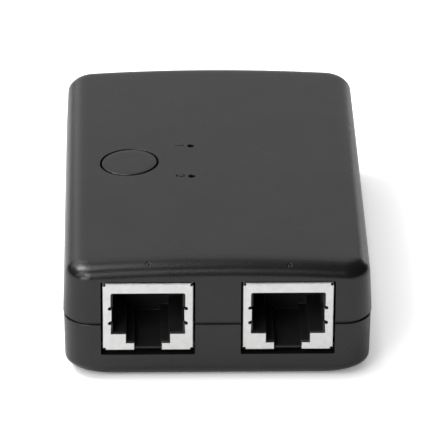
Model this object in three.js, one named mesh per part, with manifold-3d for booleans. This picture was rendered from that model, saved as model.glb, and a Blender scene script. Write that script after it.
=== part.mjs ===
// A two-way network selector box: two shielded 8P8C sockets in front, one behind, a round push button
// and two indicator lamps on top. Every separate piece is its own mesh.
// Millimetres, +Z up. The origin is the centre of the underside; -Y is the face with two sockets.

import * as THREE from "three";
import { mergeVertices } from "three/addons/utils/BufferGeometryUtils.js";
import Module from "manifold-3d";

const wasm = await Module();
wasm.setup();

// ---- Driving dimensions ----

const CASE = {
  width: 54.6,
  length: 81.9,
  height: 23.05,
  parting: 11.3, // height of the line between the two covers
  wall: 2,
  corner: 5.1, // plan radius at the parting line
  crown: 1, // how far the top falls from its middle to its side edges
  topDraft: 0.042, // lean of the upper walls, in mm per mm
  bottomDraft: 0.014,
  topRim: { across: 3.8, down: 2.6 }, // elliptical edge round the top
  bottomRim: { across: 3.3, down: 2.9, corner: 10 },
  bottomInset: 0.12, // the lower cover stands in by this much at the parting line
  groove: 0.15, // chamfer on both covers at the parting line
};
const LIP = { inset: 1.15, height: 1.5, slack: 0.15 };
const BOARD = { top: 6, thickness: 1.6, halfWidth: 24, halfLength: 38, corner: 2 };
const JACK = { width: 15.9, height: 13.3, depth: 18, sheet: 0.3, pitch: 24.64 };
const CUTOUT = { side: 0.3, below: 1, above: 0.05 };
const WIRE = { count: 8, pitch: 1.02, width: 0.35, thickness: 0.25, rows: [15.3, 16.6] };
const BUTTON = { x: -15.4, y: -0.6, radius: 5, gap: 0.3, proud: 0.12, flangeRadius: 6.2, flangeHeight: 0.9 };
const PUSH_SWITCH = { side: 8, bottom: 6.1, top: 12.5, stem: 3, flangeTop: 11.8, flangeBottom: 10.6 };
const LAMP = { x: -4.1, rear: 5.35, front: -6.85, holeRadius: 0.6, radius: 1.5, bottom: 15, top: 20.2 };
const SCREW = {
  x: 20.8,
  y: 17.5,
  headRadius: 1.95,
  headHeight: 1.4,
  headTop: 2.15,
  shankRadius: 1.1,
  length: 8,
  threads: 5,
  threadDepth: 0.25,
  cross: { half: 1.1, halfWidth: 0.22, depth: 0.9 }, // the recess for a cross-head driver
};
const POWER = { x: 16, face: 40.45, depth: 7.3, width: 8.94, height: 3.2, sheet: 0.3, lift: 0.05 };

const JACKS = [
  { name: "front_left_jack", x: -JACK.pitch / 2, side: -1 },
  { name: "front_right_jack", x: JACK.pitch / 2, side: -1 },
  { name: "rear_jack", x: 0, side: 1 },
];

// ---- Materials ----

const material = (color, roughness, metalness = 0) =>
  new THREE.MeshStandardMaterial({ color, roughness, metalness });
const CASE_PLASTIC = material(0x2b2b2b, 0.55);
const SOCKET_PLASTIC = material(0x111111, 0.45);
const SHIELD_METAL = material(0xd6d6d4, 0.32, 1);
const CONTACT_METAL = material(0xd8a93a, 0.25, 1);
const BOARD_GREEN = material(0x1c5a34, 0.5);
const CHIP_PLASTIC = material(0x1a1a1c, 0.6);
const SCREW_STEEL = material(0x8d8f92, 0.35, 1);
const SWITCH_WHITE = material(0xe6e4dc, 0.5);
const LAMP_RESIN = material(0x9fb6c9, 0.2);

// ---- Solids ----

// A closed geometry as a manifold-3d solid.
function solid(geometry) {
  const bare = geometry.clone();
  bare.deleteAttribute("normal");
  bare.deleteAttribute("uv");
  const merged = mergeVertices(bare, 1e-4);
  return new wasm.Manifold(
    new wasm.Mesh({
      numProp: 3,
      vertProperties: new Float32Array(merged.attributes.position.array),
      triVerts: new Uint32Array(merged.index.array),
    }),
  );
}

// A manifold-3d solid as a three.js geometry.
function geometryOf(body) {
  const mesh = body.getMesh();
  const geometry = new THREE.BufferGeometry();
  geometry.setAttribute("position", new THREE.BufferAttribute(mesh.vertProperties, mesh.numProp));
  geometry.setIndex(new THREE.BufferAttribute(mesh.triVerts, 1));
  geometry.computeVertexNormals();
  return geometry;
}

function box(x0, x1, y0, y1, z0, z1) {
  const geometry = new THREE.BoxGeometry(x1 - x0, y1 - y0, z1 - z0);
  return solid(geometry.translate((x0 + x1) / 2, (y0 + y1) / 2, (z0 + z1) / 2));
}

// An upright cylinder.
function post(x, y, radius, z0, z1, segments = 24) {
  const geometry = new THREE.CylinderGeometry(radius, radius, z1 - z0, segments);
  return solid(geometry.rotateX(Math.PI / 2).translate(x, y, (z0 + z1) / 2));
}

// A shape drawn in X and Z, carried along Y from y0 to y1.
function alongY(shape, y0, y1) {
  const options = { depth: y1 - y0, bevelEnabled: false, curveSegments: 4 };
  return solid(new THREE.ExtrudeGeometry(shape, options).rotateX(Math.PI / 2).translate(0, y1, 0));
}

// A shape drawn in Y and Z, carried along X, centred on x.
function alongX(shape, x, width) {
  const geometry = new THREE.ExtrudeGeometry(shape, { depth: width, bevelEnabled: false });
  const turn = new THREE.Matrix4().makeBasis(
    new THREE.Vector3(0, 1, 0),
    new THREE.Vector3(0, 0, 1),
    new THREE.Vector3(1, 0, 0),
  );
  return solid(geometry.applyMatrix4(turn).translate(x - width / 2, 0, 0));
}

// A profile of [radius, height] points, turned about the vertical axis through (x, y).
function turned(profile, x, y, segments = 20) {
  const points = profile.map(([radius, height]) => new THREE.Vector2(radius, height));
  return solid(new THREE.LatheGeometry(points, segments).rotateX(Math.PI / 2).translate(x, y, 0));
}

const ordered = (a, b) => [Math.min(a, b), Math.max(a, b)];
const polygon = (points) => new THREE.Shape(points.map(([u, v]) => new THREE.Vector2(u, v)));
const join = (bodies) => bodies.reduce((a, b) => a.add(b));
const cut = (body, tools) => tools.reduce((a, b) => a.subtract(b), body);

// ---- Lofted case shells ----

const crownDrop = (x) => CASE.crown * (x / (CASE.width / 2)) ** 2;

// One level of the case: a rounded rectangle inset from the case's plan. Its far half runs from +X to -X,
// and the near half mirrors it back, so that partners across the X axis can be capped with strips.
function level(inset, corner, z, crowned = false) {
  const CORNER_STEPS = 10;
  const EDGE_STEPS = 8;
  const halfX = CASE.width / 2 - inset;
  const halfY = CASE.length / 2 - inset;
  const flat = [];
  for (let i = 0; i <= CORNER_STEPS; i++) {
    const a = ((i / CORNER_STEPS) * Math.PI) / 2;
    flat.push([halfX - corner + corner * Math.cos(a), halfY - corner + corner * Math.sin(a)]);
  }
  for (let i = 1; i < EDGE_STEPS; i++) {
    flat.push([(halfX - corner) * (1 - (2 * i) / EDGE_STEPS), halfY]);
  }
  for (let i = 0; i <= CORNER_STEPS; i++) {
    const a = ((1 + i / CORNER_STEPS) * Math.PI) / 2;
    flat.push([-halfX + corner + corner * Math.cos(a), halfY - corner + corner * Math.sin(a)]);
  }
  const ring = [...flat, ...flat.map(([x, y]) => [x, -y]).reverse()];
  return ring.map(([x, y]) => [x, y, crowned ? z - crownDrop(x) : z]);
}

// A closed solid through levels listed from the lowest to the highest.
function loft(levels) {
  const count = levels[0].length;
  const index = [];
  const quad = (a, b, c, d) => index.push(a, b, c, a, c, d);
  for (let k = 0; k + 1 < levels.length; k++) {
    for (let i = 0; i < count; i++) {
      const next = (i + 1) % count;
      quad(k * count + i, k * count + next, (k + 1) * count + next, (k + 1) * count + i);
    }
  }
  const top = (levels.length - 1) * count;
  for (let i = 0; i + 1 < count / 2; i++) {
    quad(top + i, top + i + 1, top + count - 2 - i, top + count - 1 - i);
    quad(count - 1 - i, count - 2 - i, i + 1, i);
  }
  const geometry = new THREE.BufferGeometry();
  geometry.setAttribute("position", new THREE.Float32BufferAttribute(levels.flat(2), 3));
  return solid(geometry.setIndex(index));
}

const RIM_COUNT = 8;
const RIM_STEPS = Array.from({ length: RIM_COUNT + 1 }, (_, i) => ((i / RIM_COUNT) * Math.PI) / 2);

function upperBody() {
  const { height, parting, corner, topDraft, topRim, groove } = CASE;
  const lean = topDraft * (height - topRim.down - parting);
  const rim = RIM_STEPS.map((turn) => {
    const inset = lean + topRim.across * (1 - Math.cos(turn));
    const z = height - topRim.down * (1 - Math.sin(turn));
    return level(inset, Math.max(corner - inset, 0.5), z, true);
  });
  return loft([level(groove, corner - groove, parting), level(0, corner, parting + groove), ...rim]);
}

function lowerBody() {
  const { parting, corner, bottomDraft, bottomRim, bottomInset, groove } = CASE;
  const lean = bottomInset + bottomDraft * (parting - bottomRim.down);
  const rim = RIM_STEPS.map((turn) => {
    const share = 1 - Math.cos(turn);
    return level(
      lean + bottomRim.across * share,
      corner + (bottomRim.corner - corner) * share,
      bottomRim.down * (1 - Math.sin(turn)),
    );
  }).reverse();
  const edge = level(bottomInset + groove, corner - groove, parting);
  return loft([...rim, level(bottomInset, corner, parting - groove), edge]);
}

// Room inside the upper cover, up to its ceiling.
function upperRoom() {
  const { height, wall, parting, corner } = CASE;
  const ceiling = height - wall;
  return loft([
    level(wall, corner - wall, parting - 1),
    level(wall + 0.4, corner - wall, ceiling - 2.2, true),
    level(wall + 2.6, 1, ceiling, true),
  ]);
}

// Room inside the lower cover, down to its floor.
function lowerRoom() {
  const { wall, parting, corner } = CASE;
  return loft([
    level(wall + 2.6, 7, wall),
    level(wall + 0.3, corner - wall, wall + 2.5),
    level(wall, corner - wall, parting + LIP.height + 1),
  ]);
}

// ---- Openings in the end walls ----

const endOf = (side) => (side * CASE.length) / 2;

// A block through an end wall, spanning x0 to x1 and z0 to z1.
function endCut(side, x0, x1, z0, z1) {
  const inner = endOf(side) - side * (CASE.wall + 3);
  const outer = endOf(side) + side * 2;
  return box(x0, x1, Math.min(inner, outer), Math.max(inner, outer), z0, z1);
}

function jackCutouts() {
  const half = JACK.width / 2 + CUTOUT.side;
  const low = BOARD.top - CUTOUT.below;
  const high = BOARD.top + JACK.height + CUTOUT.above;
  return JACKS.map(({ x, side }) => endCut(side, x - half, x + half, low, high));
}

// A rounded slot in X and Z, as wide and high as stated, standing on z0.
function slotShape(x, z0, width, height) {
  const radius = height / 2;
  const reach = width / 2 - radius;
  const shape = new THREE.Shape();
  shape.absarc(x + reach, z0 + radius, radius, -Math.PI / 2, Math.PI / 2, false);
  shape.absarc(x - reach, z0 + radius, radius, Math.PI / 2, (3 * Math.PI) / 2, false);
  return shape;
}

function powerCutout() {
  const slack = 0.3;
  const { x, lift, width, height } = POWER;
  const shape = slotShape(x, BOARD.top + lift - slack, width + 2 * slack, height + 2 * slack);
  return alongY(shape, CASE.length / 2 - CASE.wall - 1, CASE.length / 2 + 1);
}

// ---- Covers ----

const SCREW_SPOTS = [
  ["front_left", -SCREW.x, -SCREW.y],
  ["front_right", SCREW.x, -SCREW.y],
  ["rear_left", -SCREW.x, SCREW.y],
  ["rear_right", SCREW.x, SCREW.y],
];
const LAMP_SPOTS = [LAMP.rear, LAMP.front];
const BOSS = { radius: 2.5, pilot: 1.15, bottom: 3.8, depth: 9 };
const RIB = { x: 23.7, half: 0.7, halfLength: 3, clearance: 0.05 }; // holds the board down at each side
const COLLAR = { radius: 7, bottom: PUSH_SWITCH.top + 7.05 };

function topCover() {
  const { height, parting, corner } = CASE;
  const ceiling = height - CASE.wall;
  const rebateInset = LIP.inset - LIP.slack;
  const rebate = loft([
    level(rebateInset, corner - rebateInset, parting - 1),
    level(rebateInset, corner - rebateInset, parting + LIP.height + LIP.slack),
  ]);
  const shell = cut(upperBody(), [upperRoom(), rebate]);
  const bosses = SCREW_SPOTS.map(([, x, y]) => post(x, y, BOSS.radius, BOSS.bottom, ceiling, 16));
  const collar = post(BUTTON.x, BUTTON.y, COLLAR.radius, COLLAR.bottom, ceiling, 24);
  const ribs = [-1, 1].map((side) => {
    const x = side * RIB.x;
    const foot = BOARD.top + RIB.clearance;
    return box(x - RIB.half, x + RIB.half, -RIB.halfLength, RIB.halfLength, foot, ceiling - 0.5);
  });
  const holes = [
    ...SCREW_SPOTS.map(([, x, y]) => post(x, y, BOSS.pilot, BOSS.bottom - 1, BOSS.bottom + BOSS.depth, 12)),
    post(BUTTON.x, BUTTON.y, BUTTON.radius + BUTTON.gap, COLLAR.bottom - 1, height + 1, 32),
    ...LAMP_SPOTS.map((y) => post(LAMP.x, y, LAMP.holeRadius, ceiling - 1, height + 1, 16)),
  ];
  return cut(join([shell, ...bosses, collar, ...ribs]), [...jackCutouts(), ...holes]);
}

const BOARD_BOTTOM = BOARD.top - BOARD.thickness;
const STANDOFFS = [
  [-22, -28],
  [22, -28],
  [-14, 28],
  [22, 28],
];
const PEGGED = [STANDOFFS[0], STANDOFFS[3]]; // these two carry a locating peg

const PAD = { radius: 3.1, clearance: 0.1 }; // meets a boss of the upper cover
const STANDOFF = { radius: 1.6, pegRadius: 0.9 };
const LABEL = { halfWidth: 13, halfLength: 22, depth: 0.3 }; // shallow panel for a rating label

function bottomCover() {
  const { wall, corner, parting } = CASE;
  const top = parting + LIP.height;
  const prism = (inset, z0, z1) => loft([level(inset, corner - inset, z0), level(inset, corner - inset, z1)]);
  const lip = cut(prism(LIP.inset, parting - 1, top), [prism(wall, parting - 2, top + 1)]);
  const shell = join([cut(lowerBody(), [lowerRoom()]), lip]);
  const base = wall - 0.5;
  const pads = SCREW_SPOTS.map(([, x, y]) => post(x, y, PAD.radius, base, BOSS.bottom - PAD.clearance, 16));
  const standoffs = STANDOFFS.map(([x, y]) => post(x, y, STANDOFF.radius, base, BOARD_BOTTOM, 12));
  const pegTop = BOARD.top - 0.3;
  const pegs = PEGGED.map(([x, y]) => post(x, y, STANDOFF.pegRadius, BOARD_BOTTOM - 0.5, pegTop, 12));
  const label = box(-LABEL.halfWidth, LABEL.halfWidth, -LABEL.halfLength, LABEL.halfLength, -1, LABEL.depth);
  const drill = SCREW_SPOTS.flatMap(([, x, y]) => [
    post(x, y, SCREW.headRadius + 0.25, -1, SCREW.headTop + 0.05, 16),
    post(x, y, SCREW.shankRadius + 0.15, 0, BOSS.bottom + 1, 12),
  ]);
  const openings = [...jackCutouts(), powerCutout(), label, ...drill];
  return cut(join([shell, ...pads, ...standoffs, ...pegs]), openings);
}

// A self-tapping pan-head screw, driven from below.
function caseScrew() {
  const { headRadius, shankRadius, length, headTop, headHeight, threads, threadDepth, cross } = SCREW;
  const headBottom = headTop - headHeight;
  const profile = [
    [0, headBottom],
    [headRadius - 0.5, headBottom],
    [headRadius, headBottom + 0.4],
    [headRadius, headTop],
  ];
  const root = shankRadius - threadDepth;
  for (let i = 0; i < threads; i++) {
    const z = headTop + (i * (length - 1)) / threads;
    profile.push([root, z], [shankRadius, z + 0.6], [root, z + 1.2]);
  }
  profile.push([0, headTop + length]);
  const bar = (halfX, halfY) => box(-halfX, halfX, -halfY, halfY, 0, headBottom + cross.depth);
  return cut(turned(profile, 0, 0, 10), [bar(cross.half, cross.halfWidth), bar(cross.halfWidth, cross.half)]);
}

// ---- Circuit board ----

function roundHole(shape, x, y, radius, segments) {
  const path = new THREE.Path();
  for (let i = 0; i < segments; i++) {
    const a = (-2 * Math.PI * i) / segments;
    path[i ? "lineTo" : "moveTo"](x + radius * Math.cos(a), y + radius * Math.sin(a));
  }
  shape.holes.push(path.closePath());
}

// Where a point in a socket's own frame falls on the board.
const onBoard = ({ x, side }, dx, dy) => [x - side * dx, endOf(side) - side * dy];

const PEG = { x: 5.7, y: 8.9, radius: 1.55 }; // a socket's locating pegs, in its own frame
const TAB = { y: 10.5, halfWidth: 0.7, length: 2.4 }; // its shield's solder tabs

const wireX = (i) => (i - (WIRE.count - 1) / 2) * WIRE.pitch;
const LAMP_LEG = 1.27; // half the distance between a lamp's legs

function circuitBoard() {
  const { halfWidth: w, halfLength: l, corner: r, thickness } = BOARD;
  const shape = new THREE.Shape();
  shape.absarc(w - r, l - r, r, 0, Math.PI / 2, false);
  shape.absarc(-w + r, l - r, r, Math.PI / 2, Math.PI, false);
  shape.absarc(-w + r, -l + r, r, Math.PI, 1.5 * Math.PI, false);
  shape.absarc(w - r, -l + r, r, 1.5 * Math.PI, 2 * Math.PI, false);
  for (const jack of JACKS) {
    for (let i = 0; i < WIRE.count; i++) {
      roundHole(shape, ...onBoard(jack, wireX(i), WIRE.rows[i % 2]), 0.42, 6);
    }
    for (const side of [-1, 1]) {
      const tabX = side * (JACK.width - JACK.sheet) / 2;
      roundHole(shape, ...onBoard(jack, side * PEG.x, PEG.y), PEG.radius + 0.15, 12);
      roundHole(shape, ...onBoard(jack, tabX, TAB.y), TAB.halfWidth + 0.25, 8);
    }
  }
  for (const [x, y] of PEGGED) roundHole(shape, x, y, 1.05, 12);
  for (const y of LAMP_SPOTS) {
    for (const side of [-1, 1]) roundHole(shape, LAMP.x, y + side * LAMP_LEG, 0.5, 6);
  }
  for (const [x, y] of switchPins()) roundHole(shape, x, y, 0.6, 6);
  const options = { depth: thickness, bevelEnabled: false, curveSegments: 4 };
  const geometry = new THREE.ExtrudeGeometry(shape, options);
  const notch = BOSS.radius + 0.3;
  const notches = SCREW_SPOTS.map(([, x, y]) => {
    const [a, b] = ordered(x, Math.sign(x) * (w + 1));
    return box(a, b, y - notch, y + notch, 0, BOARD.top + 1).add(post(x, y, notch, 0, BOARD.top + 1, 16));
  });
  return cut(solid(geometry.translate(0, 0, BOARD_BOTTOM)), notches);
}

// ---- Shielded 8P8C socket, in its own frame: face at y = 0, running back along +Y, standing on z = 0 ----

const MOUTH = {
  half: 6.55, // half the main opening's width
  floor: 3.27,
  roof: 11.37,
  steps: [
    { half: 3.9, floor: 1.43 }, // room for the latch's shoulders
    { half: 2.45, floor: 0 }, // and for its tongue
  ],
};
const GROUND_TAB = { low: 5.7, high: 8.15, notch: 0.4, depth: 0.35, bite: 0.15, reach: 7 };

// The right-hand edge of the shield's opening, from the bottom up.
function mouthEdge() {
  const { half, floor, roof, steps } = MOUTH;
  const { low, high, notch, depth, bite } = GROUND_TAB;
  return [
    [steps[1].half, -1],
    [steps[1].half, steps[0].floor],
    [steps[0].half, steps[0].floor],
    [steps[0].half, floor],
    [half, floor],
    [half, low - notch],
    [half + depth, low - notch / 2],
    [half - bite, low],
    [half - bite, high],
    [half + depth, high + notch / 2],
    [half, high + notch],
    [half, roof - 0.25],
    [half - 0.25, roof],
  ];
}

function jackShield() {
  const { width, height, depth, sheet } = JACK;
  const half = width / 2;
  const edge = mouthEdge();
  const mouth = polygon([...edge, ...edge.map(([x, z]) => [-x, z]).reverse()]);
  const room = box(-half + sheet, half - sheet, sheet, depth - sheet, -1, height - sheet);
  const nick = 0.45; // the folds meet in a small open corner
  const reliefs = [-1, 1].flatMap((side) =>
    [1, -1].map((up) => {
      const outside = side * (half + 0.1);
      const end = (up > 0 ? 0 : height) - 0.1 * up;
      const corner = [
        [outside, end],
        [side * (half - nick), end],
        [outside, end + (nick + 0.1) * up],
      ];
      return alongY(polygon(side * up > 0 ? corner.reverse() : corner), -1, sheet + 0.05);
    }),
  );
  const front = alongY(mouth, -1, sheet + 0.01);
  const body = cut(box(-half, half, 0, depth, 0, height), [room, front, ...reliefs]);
  const tabs = [-1, 1].map((side) => {
    const [a, b] = ordered(side * (half - sheet), side * half);
    return box(a, b, TAB.y - TAB.halfWidth, TAB.y + TAB.halfWidth, -TAB.length, 0.5);
  });
  const springs = [-1, 1].map((side) => {
    const root = MOUTH.half - GROUND_TAB.bite;
    const [a, b] = ordered(side * root, side * (root + sheet));
    return box(a, b, sheet / 2, GROUND_TAB.reach, GROUND_TAB.low + 0.1, GROUND_TAB.high - 0.1);
  });
  return join([body, ...tabs, ...springs]);
}

const PLUG_ROOM = { half: 6.15, floor: 3.4, roof: 11.2, back: 14, latchFloor: 0.4, slack: 0.15 };
const HOUSING = { half: 7.45, front: 0.45, back: 17.5, bottom: 0.1, top: 12.8 };
const WIRE_ROOM = { half: 5.3, front: 1.8, roof: 12.2, back: 17.8, behind: 14.4 };

function jackHousing() {
  const { half, floor, roof, back, latchFloor, slack } = PLUG_ROOM;
  const { low, high, bite, reach } = GROUND_TAB;
  const [shoulder, tongue] = MOUTH.steps;
  const springRooms = [-1, 1].map((side) => {
    const [a, b] = ordered(side * (half - 0.1), side * (MOUTH.half - bite + JACK.sheet + slack));
    return box(a, b, 0, reach + 0.4, low - 0.2, high + 0.2);
  });
  const middle = (halfX, y0, y1, z0, z1) => box(-halfX, halfX, y0, y1, z0, z1);
  const body = cut(middle(HOUSING.half, HOUSING.front, HOUSING.back, HOUSING.bottom, HOUSING.top), [
    middle(half, 0, back, floor, roof),
    middle(shoulder.half - slack, 0, back, shoulder.floor + slack, floor + 1),
    middle(tongue.half - slack, 0, back, latchFloor, floor + 1),
    middle(WIRE_ROOM.half, WIRE_ROOM.front, WIRE_ROOM.behind + 1, roof - 0.5, WIRE_ROOM.roof),
    middle(WIRE_ROOM.half, WIRE_ROOM.behind, WIRE_ROOM.back, -1, WIRE_ROOM.roof),
    ...springRooms,
  ]);
  const pegs = [-1, 1].map((side) => post(side * PEG.x, PEG.y, PEG.radius, -1.9, 0.5, 12));
  return join([body, ...pegs]);
}

// The rear insert that holds the contact wires' tails.
function contactCarrier() {
  const gap = 0.2;
  const slots = Array.from({ length: WIRE.count }, (_, i) => {
    const x = wireX(i);
    const y = WIRE.rows[i % 2];
    const half = WIRE.thickness / 2 + gap - 0.025;
    return box(x - half, x + half, y - half, y + half, -1, JACK.height);
  });
  const half = WIRE_ROOM.half - gap;
  const block = box(-half, half, WIRE_ROOM.behind + gap, HOUSING.back - gap, HOUSING.bottom, 11.3);
  return cut(block, slots);
}

// One contact wire: a sprung finger in the plug's room, a bend at the front, a run back, and a tail.
function contactWire(i) {
  const half = WIRE.thickness / 2;
  const run = 11.75;
  const bend = { y: 2.9, z: 11.4, radius: 0.35 };
  const tail = WIRE.rows[i % 2];
  const tip = [12.4, 7.9];
  const middle = [tip];
  const BEND_STEPS = 4;
  for (let k = 0; k <= BEND_STEPS; k++) {
    const a = -Math.PI / 2 - (k / BEND_STEPS) * Math.PI;
    middle.push([bend.y + bend.radius * Math.cos(a), bend.z + bend.radius * Math.sin(a)]);
  }
  middle.push([tail - 0.4, run], [tail - 0.12, run - 0.12], [tail, run - 0.4], [tail, -2.5]);
  const side = (sign) =>
    middle.map(([y, z], k) => {
      const before = middle[Math.max(k - 1, 0)];
      const after = middle[Math.min(k + 1, middle.length - 1)];
      const length = Math.hypot(after[0] - before[0], after[1] - before[1]);
      const scale = (sign * half) / length;
      return [y - scale * (after[1] - before[1]), z + scale * (after[0] - before[0])];
    });
  return alongX(polygon([...side(1), ...side(-1).reverse()].reverse()), wireX(i), WIRE.width);
}

// ---- Push button and its switch ----

const STEM_SOCKET = {
  half: PUSH_SWITCH.stem / 2 + 0.05,
  bottom: PUSH_SWITCH.top + 2.4,
  top: PUSH_SWITCH.top + 6.1,
  radius: 2.7,
};

// A square post centred on the button.
const squarePost = (half, z0, z1) => {
  const { x, y } = BUTTON;
  return box(x - half, x + half, y - half, y + half, z0, z1);
};

function buttonCap() {
  const { x, y, radius, proud, flangeRadius, flangeHeight } = BUTTON;
  const flangeTop = COLLAR.bottom - 0.2;
  const flangeBottom = flangeTop - flangeHeight;
  const under = CASE.height - CASE.wall + 0.1;
  const drum = post(x, y, radius, flangeBottom, CASE.height + 2, 32);
  const shell = drum.add(post(x, y, flangeRadius, flangeBottom, flangeTop, 24));
  const stem = post(x, y, STEM_SOCKET.radius, STEM_SOCKET.bottom, under + 0.5, 16);
  const socket = squarePost(STEM_SOCKET.half, 0, STEM_SOCKET.top);
  const belowTop = loft([level(3, 2, 5), level(3, 2, CASE.height + proud, true)]);
  return cut(join([cut(shell, [post(x, y, radius - 1, 0, under, 24)]), stem]), [socket]).intersect(belowTop);
}

const SWITCH_BORE = { radius: 2.6, floor: 7, roof: 12 };

const PIN_PITCH = 2.5;
const switchPins = () =>
  [-PIN_PITCH, 0, PIN_PITCH].flatMap((dy) => [
    [BUTTON.x - PIN_PITCH, BUTTON.y + dy],
    [BUTTON.x + PIN_PITCH, BUTTON.y + dy],
  ]);

function switchHousing() {
  const { x, y } = BUTTON;
  const { side, bottom, top, stem } = PUSH_SWITCH;
  const body = cut(squarePost(side / 2, bottom, top), [
    post(x, y, SWITCH_BORE.radius, SWITCH_BORE.floor, SWITCH_BORE.roof, 16),
    squarePost(stem / 2 + 0.15, SWITCH_BORE.floor + 1, top + 1),
  ]);
  const pins = switchPins().map(([px, py]) => box(px - 0.3, px + 0.3, py - 0.2, py + 0.2, 3.6, bottom + 0.3));
  return join([body, ...pins]);
}

function switchPlunger() {
  const { x, y } = BUTTON;
  const { stem, flangeTop, flangeBottom } = PUSH_SWITCH;
  return join([
    squarePost(stem / 2, flangeBottom, STEM_SOCKET.top - 0.1),
    post(x, y, SWITCH_BORE.radius - 0.2, flangeBottom, flangeTop, 16),
  ]);
}

class Helix extends THREE.Curve {
  constructor(radius, bottom, top, turns) {
    super();
    Object.assign(this, { radius, bottom, top, turns });
  }
  getPoint(t, target = new THREE.Vector3()) {
    const a = 2 * Math.PI * this.turns * t;
    const rise = this.bottom + (this.top - this.bottom) * t;
    return target.set(this.radius * Math.cos(a), this.radius * Math.sin(a), rise);
  }
}

const SPRING = { radius: 1.9, wire: 0.16, turns: 4, gap: 0.02 };

function switchSpring() {
  const { radius, wire, turns, gap } = SPRING;
  const ends = [SWITCH_BORE.floor + wire + gap, PUSH_SWITCH.flangeBottom - wire - gap];
  const path = new Helix(radius, ...ends, turns);
  const section = new THREE.Shape().absarc(0, 0, wire, 0, 2 * Math.PI, false);
  const options = { steps: turns * 10, curveSegments: 2, bevelEnabled: false, extrudePath: path };
  return new THREE.ExtrudeGeometry(section, options).translate(BUTTON.x, BUTTON.y, 0);
}

// ---- Indicator lamps ----

function lamp(y) {
  const { x, radius, bottom, top } = LAMP;
  const dome = [0, 0.25, 0.5, 0.75].map((share) => (share * Math.PI) / 2);
  const rim = radius + 0.4;
  const profile = [[0, bottom], [rim, bottom], [rim, bottom + 1], [radius, bottom + 1]];
  for (const a of dome) profile.push([radius * Math.cos(a), top - radius + radius * Math.sin(a)]);
  const bulb = turned([...profile, [0, top]], x, y, 12);
  const legs = [-1, 1].map((side) => {
    const legY = y + side * LAMP_LEG;
    return box(x - 0.25, x + 0.25, legY - 0.25, legY + 0.25, 3.4, bottom + 0.3);
  });
  return join([bulb, ...legs]);
}

function lampSpacer(y) {
  const { x, radius, bottom } = LAMP;
  const legs = [-1, 1].map((side) => post(x, y + side * LAMP_LEG, 0.45, 0, bottom + 1, 8));
  return cut(post(x, y, radius + 0.6, BOARD.top + 0.05, bottom - 0.05, 16), legs);
}

// ---- Power socket and board parts ----

function powerShell() {
  const { x, face, depth, width, height, sheet, lift } = POWER;
  const floor = BOARD.top + lift;
  const outer = alongY(slotShape(x, floor, width, height), face - depth, face);
  const inside = slotShape(x, floor + sheet, width - 2 * sheet, height - 2 * sheet);
  return cut(outer, [alongY(inside, face - depth + 2 * sheet, face + 1)]);
}

function powerTongue() {
  const { x, face, depth, height, lift } = POWER;
  const middle = BOARD.top + lift + height / 2;
  return join([
    box(x - 3.34, x + 3.34, face - depth + 0.7, face - 1, middle - 0.35, middle + 0.35),
    box(x - 3.2, x + 3.2, face - depth + 0.7, face - depth + 2, middle - 1.1, middle + 1.1),
  ]);
}

const FOOT = BOARD.top + 0.02; // where the chips and the capacitor stand
const FLAT_CHIP = { side: 8, height: 0.88 };

function flatChip(x, y) {
  const half = FLAT_CHIP.side / 2;
  return box(x - half, x + half, y - half, y + half, FOOT, FOOT + FLAT_CHIP.height);
}

const LEAD = { pitch: 1.27, half: 0.2, thickness: 0.2, knee: 0.4, toe: 1 };

// A small chip with gull-wing leads on two sides.
function leadedChip(x, y, length, width, height, leads) {
  const { pitch, half, thickness, knee, toe } = LEAD;
  const reach = width / 2;
  const span = reach + knee + 0.1;
  const shoulder = FOOT + height / 2;
  const body = box(x - length / 2, x + length / 2, y - reach, y + reach, FOOT + 0.15, FOOT + height);
  const rows = Array.from({ length: leads }, (_, i) => {
    const lx = x + (i - (leads - 1) / 2) * pitch;
    const bar = (y0, y1, z0, z1) => box(lx - half, lx + half, ...ordered(y0, y1), z0, z1);
    const ends = [-1, 1].flatMap((side) => [
      bar(y + side * (reach + knee), y + side * (reach + toe), FOOT, FOOT + thickness),
      bar(y + side * (reach + knee), y + side * (reach + knee + thickness), FOOT, shoulder + thickness),
    ]);
    return join([bar(y - span, y + span, shoulder, shoulder + thickness), ...ends]);
  });
  return join([body, ...rows]);
}

// An aluminium can with a rolled neck, on a square base.
function inputCapacitor(x, y) {
  const radius = 2.5;
  const half = radius + 0.15;
  const can = [
    [0, 0.5],
    [radius, 0.5],
    [radius, 1.2],
    [radius - 0.15, 1.4],
    [radius, 1.6],
    [radius, 5.3],
    [radius - 0.2, 5.5],
    [0, 5.5],
  ];
  const base = box(x - half, x + half, y - half, y + half, FOOT, FOOT + 0.8);
  return base.add(turned(can.map(([r, z]) => [r, FOOT + z]), x, y, 14));
}

// ---- Assembly ----

const selector = new THREE.Group();

function place(name, shape, look, parent = selector) {
  const mesh = new THREE.Mesh(shape.isBufferGeometry ? shape : geometryOf(shape), look);
  mesh.name = name;
  parent.add(mesh);
  return mesh;
}

place("top_cover", topCover(), CASE_PLASTIC);
place("bottom_cover", bottomCover(), CASE_PLASTIC);
place("circuit_board", circuitBoard(), BOARD_GREEN);
for (const [spot, x, y] of SCREW_SPOTS) {
  place(`case_screw_${spot}`, caseScrew(), SCREW_STEEL).position.set(x, y, 0);
}

for (const jack of JACKS) {
  const group = new THREE.Group();
  group.position.set(jack.x, endOf(jack.side), BOARD.top);
  group.rotation.z = jack.side > 0 ? Math.PI : 0;
  place(`${jack.name}_shield`, jackShield(), SHIELD_METAL, group);
  place(`${jack.name}_housing`, jackHousing(), SOCKET_PLASTIC, group);
  place(`${jack.name}_contact_carrier`, contactCarrier(), SOCKET_PLASTIC, group);
  for (let i = 0; i < WIRE.count; i++) {
    place(`${jack.name}_contact_${i + 1}`, contactWire(i), CONTACT_METAL, group);
  }
  selector.add(group);
}

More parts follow.
